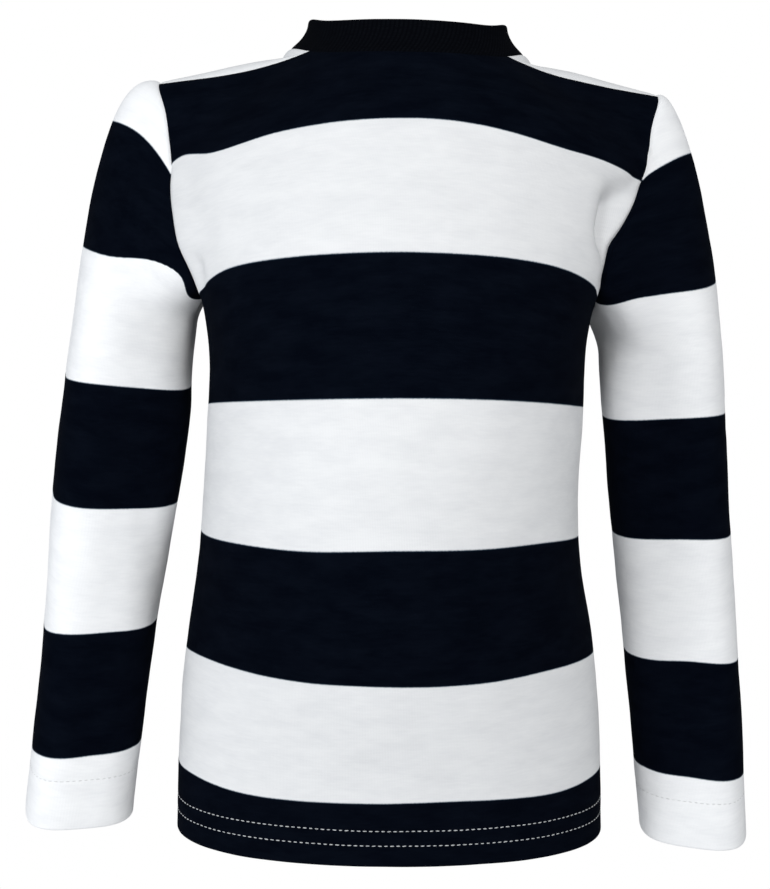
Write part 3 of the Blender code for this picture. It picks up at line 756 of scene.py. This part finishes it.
def addMesh(name, points, faces, material, uv=None):
    data = bpy.data.meshes.new(name)
    data.from_pydata(points.tolist(), [], faces)
    if uv is not None:
        data.uv_layers.new(name="cloth").data.foreach_set("uv", uv.astype(np.float32).ravel())
    data.shade_smooth()
    data.materials.append(material)
    piece = bpy.data.objects.new(name, data)
    bpy.context.scene.collection.objects.link(piece)
    return piece


# adds a node, and links or sets its inputs
def put(tree, kind, inputs=None, **settings):
    node = tree.nodes.new("ShaderNode" + kind)
    for name, value in settings.items():
        setattr(node, name, value)
    for key, value in (inputs or {}).items():
        if isinstance(value, bpy.types.NodeSocket):
            tree.links.new(value, node.inputs[key])
        else:
            node.inputs[key].default_value = value
    return node


def math1(tree, operation, a, b=0.0, c=0.0):
    return put(tree, "Math", {0: a, 1: b, 2: c}, operation=operation).outputs[0]


def ramp(tree, value, fromLow, fromHigh, toLow, toHigh, kind="LINEAR"):
    return put(tree, "MapRange", {0: value, 1: fromLow, 2: fromHigh, 3: toLow, 4: toHigh},
               interpolation_type=kind).outputs[0]


def blend(tree, share, a, b, kind="MIX"):
    return put(tree, "Mix", {0: share, 6: a, 7: b}, data_type="RGBA", blend_type=kind).outputs[2]


def newGroup(name, inputs, outputs):
    group = bpy.data.node_groups.new(name, "ShaderNodeTree")
    for label, kind, value in inputs:
        socket = group.interface.new_socket(label, in_out="INPUT", socket_type="NodeSocket" + kind)
        if value is not None:
            socket.default_value = value
    for label, kind in outputs:
        group.interface.new_socket(label, in_out="OUTPUT", socket_type="NodeSocket" + kind)
    return group, group.nodes.new("NodeGroupInput").outputs, group.nodes.new("NodeGroupOutput").inputs


def placed(tree, group, inputs):
    return put(tree, "Group", inputs, node_tree=group).outputs


knitShape = {
    "courseShare": 0.22,
    "roundness": 0.6,
    "slubRange": (0.3, 0.7),
    "frayFine": 900.0,
    "fraySlow": 140.0,
    "fraySlowShare": 0.3,
    "frayMiddle": 0.65,
    "borderWidth": 2.6,
}


# columns of small V-shaped loops: a ridge for each wale, with courses that lean up to its middle
def makeKnit():
    group, given, result = newGroup(
        "knitLoops", [("Place", "Vector", None), ("Wale", "Float", 0.0007),
                      ("Course", "Float", 0.0006)], [("Height", "Float")])
    place = put(group, "SeparateXYZ", {0: given["Place"]}).outputs
    wale = math1(group, "PINGPONG", math1(group, "DIVIDE", place[0], given["Wale"]), 0.5)
    course = math1(group, "ADD", math1(group, "DIVIDE", place[1], given["Course"]), wale)
    wave = math1(group, "SINE", math1(group, "MULTIPLY", course, 2 * math.pi))
    ridge = math1(group, "POWER", math1(group, "MULTIPLY", wale, 2.0), knitShape["roundness"])
    group.links.new(math1(group, "MULTIPLY_ADD", wave, knitShape["courseShare"], ridge), result["Height"])
    return group


# thick and thin places in the yarn: noise drawn out along the courses
def makeSlub():
    group, given, result = newGroup(
        "yarnSlub", [("Place", "Vector", None), ("Length", "Float", 0.012),
                     ("Thickness", "Float", 0.0008)], [("Amount", "Float")])
    place = put(group, "SeparateXYZ", {0: given["Place"]}).outputs
    stretched = put(group, "CombineXYZ", {
        0: math1(group, "DIVIDE", place[0], given["Length"]),
        1: math1(group, "DIVIDE", place[1], given["Thickness"])}).outputs[0]
    noise = put(group, "TexNoise", {"Vector": stretched, "Scale": 1.0, "Detail": 2.0, "Roughness": 0.6})
    group.links.new(ramp(group, noise.outputs[0], *knitShape["slubRange"], 0.0, 1.0), result["Amount"])
    return group


# black to white across each whole number of the stripe coordinate, frayed by the loops of the knit
def makeStripes():
    group, given, result = newGroup(
        "stripeEdges", [("Stripe", "Float", 0.0), ("Place", "Vector", None),
                        ("Fray", "Float", 0.0045), ("Blur", "Float", 0.014)],
        [("White", "Float"), ("Border", "Float")])
    fine, slow = (
        put(group, "TexNoise", {"Vector": given["Place"], "Scale": scale, "Detail": 1.0}).outputs[0]
        for scale in (knitShape["frayFine"], knitShape["fraySlow"]))
    both = math1(group, "MULTIPLY_ADD", slow, knitShape["fraySlowShare"],
                 math1(group, "SUBTRACT", fine, knitShape["frayMiddle"]))
    moved = math1(group, "MULTIPLY_ADD", both, given["Fray"], given["Stripe"])
    wave = math1(group, "SINE", math1(group, "MULTIPLY", moved, -math.pi))
    other = math1(group, "MULTIPLY", given["Blur"], -1.0)
    white = ramp(group, wave, other, given["Blur"], 0.0, 1.0, "SMOOTHSTEP")
    group.links.new(white, result["White"])
    nearEdge = math1(group, "ABSOLUTE", wave)
    wider = math1(group, "MULTIPLY", given["Blur"], knitShape["borderWidth"])
    group.links.new(ramp(group, nearEdge, 0.0, wider, 1.0, 0.0, "SMOOTHSTEP"), result["Border"])
    return group


knitLoops, yarnSlub, stripeEdges = makeKnit(), makeSlub(), makeStripes()


# a fabric's material, with its shader's plain values set, and the place on the cloth
def newMaterial(name, plain):
    material = bpy.data.materials.new(name)
    material.use_nodes = True
    tree = material.node_tree
    for socket, value in plain.items():
        tree.nodes["Principled BSDF"].inputs[socket].default_value = value
    return material, tree, put(tree, "UVMap", uv_map="cloth").outputs[0]


# what all fabrics end with: colour, a bump of the height, and a roughness that follows "share"
def finishFabric(tree, colour, height, bump, share, rough):
    shader = tree.nodes["Principled BSDF"]
    relief = put(tree, "Bump", {"Height": height, "Strength": bump[0], "Distance": bump[1]})
    tree.links.new(colour, shader.inputs["Base Color"])
    tree.links.new(relief.outputs[0], shader.inputs["Normal"])
    tree.links.new(ramp(tree, share, 0.0, 1.0, *rough), shader.inputs["Roughness"])


jersey = {
    "white": (0.800, 0.806, 0.815, 1),
    "whiteDark": (0.735, 0.742, 0.756, 1),  # thin places in the yarn
    "black": (0.0010, 0.0019, 0.0046, 1),
    "blackLight": (0.0024, 0.0038, 0.0078, 1),
    "border": (0.022, 0.070, 0.130, 1),  # cool edge between the stripes
    "borderShare": 0.30,
    "loops": {"Wale": 0.00072, "Course": 0.00058},
    "slub": {"Length": 0.0065, "Thickness": 0.0011},
    "longSlub": {"Length": 0.024, "Thickness": 0.0085},
    "slubShares": (0.35, 0.65),  # short and long thick places
    "thinRange": (0.2, 0.95),
    "loopShade": (0.045, 0.965),  # how far loops lighten the colour, from what share of it
    "slubHeight": 0.4,
    "bump": (0.5, 0.00005),  # strength and depth
    "rough": (0.86, 0.92),
    "plain": {"Sheen Weight": 0.001, "Sheen Roughness": 0.6, "Specular IOR Level": 0.008},
}
# painted light and shade: each piece's white is scaled, the panels' darker and the sleeves' raised to offset
# the render's darker sleeves
paintedBrightness = {"backCloth": 0.96, "frontCloth": 0.96, "leftSleeveCloth": 1.13, "rightSleeveCloth": 1.10}


def stripedJersey(name, level):
    material, tree, place = newMaterial(name, jersey["plain"])
    count = put(tree, "Attribute", attribute_name="stripe").outputs["Fac"]
    edges = placed(tree, stripeEdges, {"Stripe": count, "Place": place})
    slub, long = (placed(tree, yarnSlub, {"Place": place} | jersey[size])[0] for size in ("slub", "longSlub"))
    knit = placed(tree, knitLoops, {"Place": place} | jersey["loops"])[0]
    short, far = jersey["slubShares"]
    mixed = math1(tree, "MULTIPLY_ADD", slub, short, math1(tree, "MULTIPLY", long, far))
    thin = ramp(tree, mixed, *jersey["thinRange"], 0.0, 1.0)
    # the white and its thin places are scaled by the piece's painted brightness: painted shade on the panels,
    # painted light on the sleeves
    light, dark = ([value * level for value in jersey[part][:3]] + [1] for part in ("white", "whiteDark"))
    white = blend(tree, thin, light, dark)
    black = blend(tree, thin, jersey["black"], jersey["blackLight"])
    colour = blend(tree, edges["White"], black, white)
    tinted = math1(tree, "MULTIPLY", edges["Border"], jersey["borderShare"])
    colour = blend(tree, tinted, colour, jersey["border"])
    colour = blend(tree, 1.0, colour, math1(tree, "MULTIPLY_ADD", knit, *jersey["loopShade"]), "MULTIPLY")
    height = math1(tree, "MULTIPLY_ADD", slub, jersey["slubHeight"], knit)
    finishFabric(tree, colour, height, jersey["bump"], slub, jersey["rough"])
    return material


ribKnit = {
    "rib": 0.0022,
    "course": 0.0006,
    "walesInRib": 3,
    "slub": {"Length": 0.006},
    "edge": (0.1, 0.35),  # where in half a rib its side rises
    "black": (0.0014, 0.0017, 0.0028, 1),
    # lighter black for the raised rib tops where the yarn is thick: painted light on the ribs, partly the
    # yarn's own thick places
    "blackLight": (0.0030, 0.0036, 0.0052, 1),
    "ribHeight": 1.5,
    "bump": (0.5, 0.0001),
    "rough": (0.85, 0.93),
    "plain": {"Sheen Weight": 0.001, "Specular IOR Level": 0.008},
}


def ribbedBand(name):
    material, tree, place = newMaterial(name, ribKnit["plain"])
    loops = {"Wale": ribKnit["rib"] / ribKnit["walesInRib"], "Course": ribKnit["course"]}
    knit = placed(tree, knitLoops, {"Place": place} | loops)[0]
    across = put(tree, "SeparateXYZ", {0: place}).outputs[0]
    rib = math1(tree, "PINGPONG", math1(tree, "DIVIDE", across, ribKnit["rib"]), 0.5)
    rib = ramp(tree, rib, *ribKnit["edge"], 0.0, 1.0, "SMOOTHSTEP")
    slub = placed(tree, yarnSlub, {"Place": place} | ribKnit["slub"])[0]
    # painted light on the raised ribs: the black is lighter on the rib tops, there by the yarn's own thick
    # places
    colour = blend(tree, math1(tree, "MULTIPLY", rib, slub), ribKnit["black"], ribKnit["blackLight"])
    height = math1(tree, "MULTIPLY_ADD", rib, ribKnit["ribHeight"], knit)
    finishFabric(tree, colour, height, ribKnit["bump"], slub, ribKnit["rough"])
    return material


thread = {
    "hemThread": ((0.56, 0.57, 0.58, 1), (0.30, 0.31, 0.33, 1)),  # colour, and in its grooves
    "cuffThread": ((0.78, 0.785, 0.79, 1), (0.55, 0.56, 0.57, 1)),
    "twists": 5.0,
    "groove": (0.04, 0.22),
    "bump": (0.6, 0.0001),
    "rough": (0.75, 0.6),
    "plain": {"Sheen Weight": 0.05},
}


# two plies twisted round each other, drawn by slanting bands along the stitch's own map
def sewingThread(name):
    material, tree, place = newMaterial(name, thread["plain"])
    part = put(tree, "SeparateXYZ", {0: place}).outputs
    turn = math1(tree, "MULTIPLY_ADD", part[0], thread["twists"], part[1])
    ply = math1(tree, "PINGPONG", turn, 0.5)
    strand = ramp(tree, ply, *thread["groove"], 0.0, 1.0, "SMOOTHSTEP")
    colour, shade = thread[name]
    finishFabric(tree, blend(tree, strand, shade, colour), strand, thread["bump"], strand, thread["rough"])
    return material


stitch = {
    "period": 0.0029,
    "length": 0.0019,
    "thick": 0.00056,
    "sunk": 0.30,
    "sides": 6,
    "rings": 5,
    "slopeStep": 0.0006,
    "slant": (0.02, 0.06),  # mean and spread
    "lengths": (0.86, 1.12),
    "thicknesses": (0.9, 1.12),
    "flatness": 0.8,
    "bow": 0.35,  # how high the middle stands over the ends
    "bowEnds": 0.9,
}


# one stitch: circles along a line whose radius falls off like a rounded bar, closed by two tips
def stitchShape():
    at = np.cos(np.linspace(0, np.pi, stitch["rings"] + 2))[1:-1]
    turn = np.arange(stitch["sides"]) * 2 * np.pi / stitch["sides"]
    radius = np.sqrt(1 - at ** 4)[:, None]
    along = np.repeat(at[:, None], stitch["sides"], 1)
    rings = np.stack([along, radius * np.cos(turn), radius * np.sin(turn)], -1)
    shape = np.concatenate([rings.reshape(-1, 3), [[1, 0, 0], [-1, 0, 0]]])
    index = np.arange(stitch["rings"] * stitch["sides"]).reshape(stitch["rings"], stitch["sides"])
    after = np.roll(index, -1, axis=1)
    quads = np.stack([index[:-1], index[1:], after[1:], after[:-1]], -1).reshape(-1, 4)
    tips = len(shape) - 2
    fans = [np.stack([np.full(stitch["sides"], tips), index[0], after[0]], -1),
            np.stack([np.full(stitch["sides"], tips + 1), after[-1], index[-1]], -1)]
    return shape, quads, np.concatenate(fans)


def readLine(at, length, line):
    return np.stack([np.interp(at, length, line[:, i]) for i in range(3)], -1)


# stitches in a row along a line of the cloth: places, their direction and the way out, each a
# little different in length, slant and height
def addStitches(name, rows, material):
    shape, quads, fans = stitchShape()
    points, faces, done = [], [], 0
    chance = np.random.default_rng(7)
    for line, out, closed in rows:
        length = lengthAlong(line, 0)
        count = int(length[-1] / stitch["period"])
        at = (np.arange(count) + 0.5) * length[-1] / count
        centre, outward = readLine(at, length, line), unit(readLine(at, length, out))
        along = unit(readLine(at + stitch["slopeStep"], length, line)
                     - readLine(at - stitch["slopeStep"], length, line))
        aside = unit(np.cross(outward, along))
        along = unit(along + aside * chance.normal(*stitch["slant"], (count, 1)))
        aside = unit(np.cross(outward, along))
        size = stitch["length"] / 2 * chance.uniform(*stitch["lengths"], (count, 1, 1))
        thick = stitch["thick"] / 2 * chance.uniform(*stitch["thicknesses"], (count, 1, 1))
        sunk = stitch["sunk"] * stitch["thick"] / 2
        bulge = stitch["bow"] * (1 - stitch["bowEnds"] * shape[None, :, :1] ** 2)
        made = (centre[:, None] + along[:, None] * shape[None, :, :1] * size
                + aside[:, None] * shape[None, :, 1:2] * thick
                + outward[:, None] * ((shape[None, :, 2:] * stitch["flatness"] + bulge) * thick - sunk))
        start = done + np.arange(count)[:, None, None] * len(shape)
        points.append(made.reshape(-1, 3))
        faces += (quads + start).reshape(-1, 4).tolist() + (fans + start).reshape(-1, 3).tolist()
        done += count * len(shape)
    local = np.stack([shape[:, 0] / 2, np.arctan2(shape[:, 2], shape[:, 1]) / (2 * np.pi)], -1)
    corners = np.array([corner for face in faces for corner in face])
    return addMesh(name, np.concatenate(points), faces, material, local[corners % len(shape)])


# a line of the dressed outer face at a distance from its open edge
def lineOn(piece, distance):
    level = piece["open"][:, 0]
    row = int(np.searchsorted(level, distance))
    share = (distance - level[row - 1]) / (level[row] - level[row - 1])
    line = piece["faces"][0][row - 1] * (1 - share) + piece["faces"][0][row] * share
    out = piece["out"][row]
    if piece["closed"]:
        line, out = np.concatenate([line, line[:1]]), np.concatenate([out, out[:1]])
    return line, out, piece["closed"]


pieces = {
    "back_panel": panel(back),
    "front_panel": panel(front),
    "left_sleeve": sleeve(left),
    "right_sleeve": sleeve(right),
    "neckband": neckband(),
}
print("surfaces worked out")
shareSeams(list(pieces.values()))
for name, piece in pieces.items():
    lines = () if name == "neckband" else stitchLines["hem" if "panel" in name else "cuff"]
    dress(piece, lines)
print("seams and folds pressed in")

hemThread, cuffThread = sewingThread("hemThread"), sewingThread("cuffThread")

sheets = {  # node: (piece, flat size all round what shows, flat area)
    "back_panel":   ("backCloth", (0.305, 0.412), 0.119),
    "front_panel":  ("frontCloth", (0.330, 0.436), 0.124),
    "left_sleeve":  ("leftSleeveCloth", (0.222, 0.380), 0.070),
    "right_sleeve": ("rightSleeveCloth", (0.222, 0.384), 0.072),
    "neckband":     ("neckbandCloth", (0.358, 0.0205), 0.0073),
}
stitched = {
    "back_panel":   ("backHemStitches", hemThread, stitchLines["hem"]),
    "front_panel":  ("frontHemStitches", hemThread, stitchLines["hem"]),
    "left_sleeve":  ("leftCuffStitches", cuffThread, stitchLines["cuff"]),
    "right_sleeve": ("rightCuffStitches", cuffThread, stitchLines["cuff"]),
}
for node, (name, flat, area) in sheets.items():
    piece = pieces[node]
    # striped pieces get their painted brightness: painted shade on the panels' white, painted light on the
    # sleeves' white
    material = stripedJersey(name + "Knit", paintedBrightness[name]) if name in paintedBrightness else ribbedBand(name + "Knit")
    made = addCloth(name, piece, material)
    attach(made, "root")
    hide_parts(node)
    held = []
    if node in stitched:
        stitchName, threadLook, lines = stitched[node]
        rows = [lineOn(piece, line) for line in lines]
        held = [addStitches(stitchName, rows, threadLook)]
        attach(held[0], "root")
    print("made", name, len(made.data.polygons), "faces")


studio = {
    "floorHeight": -0.78,
    "floorReach": 4.0,
    "floor": (0.8, 0.8, 0.8, 1),
    "surround": (0.93, 0.96, 1.0, 1),
    "surroundPower": 0.43,
    "lampTarget": (0.0, 0.0, -0.19),
    "lamps": {  # name: power, place, size, colour
        "top":   (1.0, (0.0, -1.40, 0.80), 0.6, (1.0, 0.99, 0.965)),
        "side":  (6.4, (-1.30, -0.90, -0.20), 0.5, (0.955, 0.98, 1.0)),
        "high":  (2.3, (1.20, -0.90, 0.55), 0.5, (1.0, 0.985, 0.95)),
        "left":  (4.0, (-0.45, -1.20, 0.00), 0.25, (0.97, 0.985, 1.0)),
        "right": (4.5, (0.30, -1.20, 0.35), 0.25, (1.0, 0.99, 0.97)),
    },
}
view = {"distance": 0.58, "turn": -1.0, "pitch": 2.2, "roll": 0.70, "x": -0.0045, "z": -0.1758,
        "lens": 44.79, "nearest": 0.01}


# the camera sees plain white, and everything else gets the softer look
def whiteToCamera(tree, soft, white, end):
    bright = put(tree, white, {"Color": (1, 1, 1, 1), "Strength": 1.0}).outputs[0]
    seen = put(tree, "LightPath").outputs["Is Camera Ray"]
    mixed = put(tree, "MixShader", {0: seen, 1: soft, 2: bright}).outputs[0]
    tree.links.new(mixed, tree.nodes[end].inputs["Surface"])


def addFloor():
    material = bpy.data.materials.new("paleFloor")
    material.use_nodes = True
    tree = material.node_tree
    tree.nodes.remove(tree.nodes["Principled BSDF"])
    plain = put(tree, "BsdfDiffuse", {"Color": studio["floor"]}).outputs[0]
    whiteToCamera(tree, plain, "Emission", "Material Output")
    corners = np.array([[-1, -1, 0], [1, -1, 0], [1, 1, 0], [-1, 1, 0]]) * studio["floorReach"]
    floor = addMesh("floor", corners + [0, 0, studio["floorHeight"]], [(0, 1, 2, 3)], material)


def addWorld():
    world = bpy.data.worlds.new("studio")
    bpy.context.scene.world = world
    world.use_nodes = True
    soft = world.node_tree.nodes["Background"]
    soft.inputs["Color"].default_value = studio["surround"]
    soft.inputs["Strength"].default_value = studio["surroundPower"]
    whiteToCamera(world.node_tree, soft.outputs[0], "Background", "World Output")


# adds a lamp or camera at a place, its axes given as it sees: to the right, up and backward
def addAt(name, data, place, axes):
    matrix = Matrix(np.stack(axes, -1).tolist()).to_4x4()
    matrix.translation = place
    made = bpy.data.objects.new(name, data)
    made.matrix_world = matrix
    bpy.context.scene.collection.objects.link(made)
    return made


def addLamp(name, power, place, size, colour):
    data = bpy.data.lights.new(name, "AREA")
    data.shape, data.size, data.energy, data.color = "SQUARE", size, power, colour
    backward = unit(np.array(place) - np.array(studio["lampTarget"]))
    sideways = unit(np.cross([0, 0, 1.0], backward))
    addAt(name, data, place, (sideways, np.cross(backward, sideways), backward))


# the camera stands behind the wearer, a little turned, looking slightly down and rolled
def addCamera():
    turn, pitch, roll = (np.radians(view[name]) for name in ("turn", "pitch", "roll"))
    sideways = np.array([np.cos(turn), np.sin(turn), 0])
    forward = np.array([-np.sin(turn), np.cos(turn), 0])
    up = np.array([0, 0, 1.0])
    place = -forward * view["distance"] + sideways * view["x"] + up * view["z"]
    looking = forward * np.cos(pitch) - up * np.sin(pitch)
    above = up * np.cos(pitch) + forward * np.sin(pitch)
    across = sideways * np.cos(roll) + above * np.sin(roll)
    upright = above * np.cos(roll) - sideways * np.sin(roll)
    data = bpy.data.cameras.new("camera")
    data.lens, data.clip_start = view["lens"], view["nearest"]
    bpy.context.scene.camera = addAt("camera", data, place, (across, upright, -looking))


addFloor()
addWorld()
for name, lamp in studio["lamps"].items():
    addLamp(name, *lamp)
addCamera()
bpy.context.scene.view_settings.view_transform = "Standard"
print("studio set up")

bpy.context.view_layer.update()
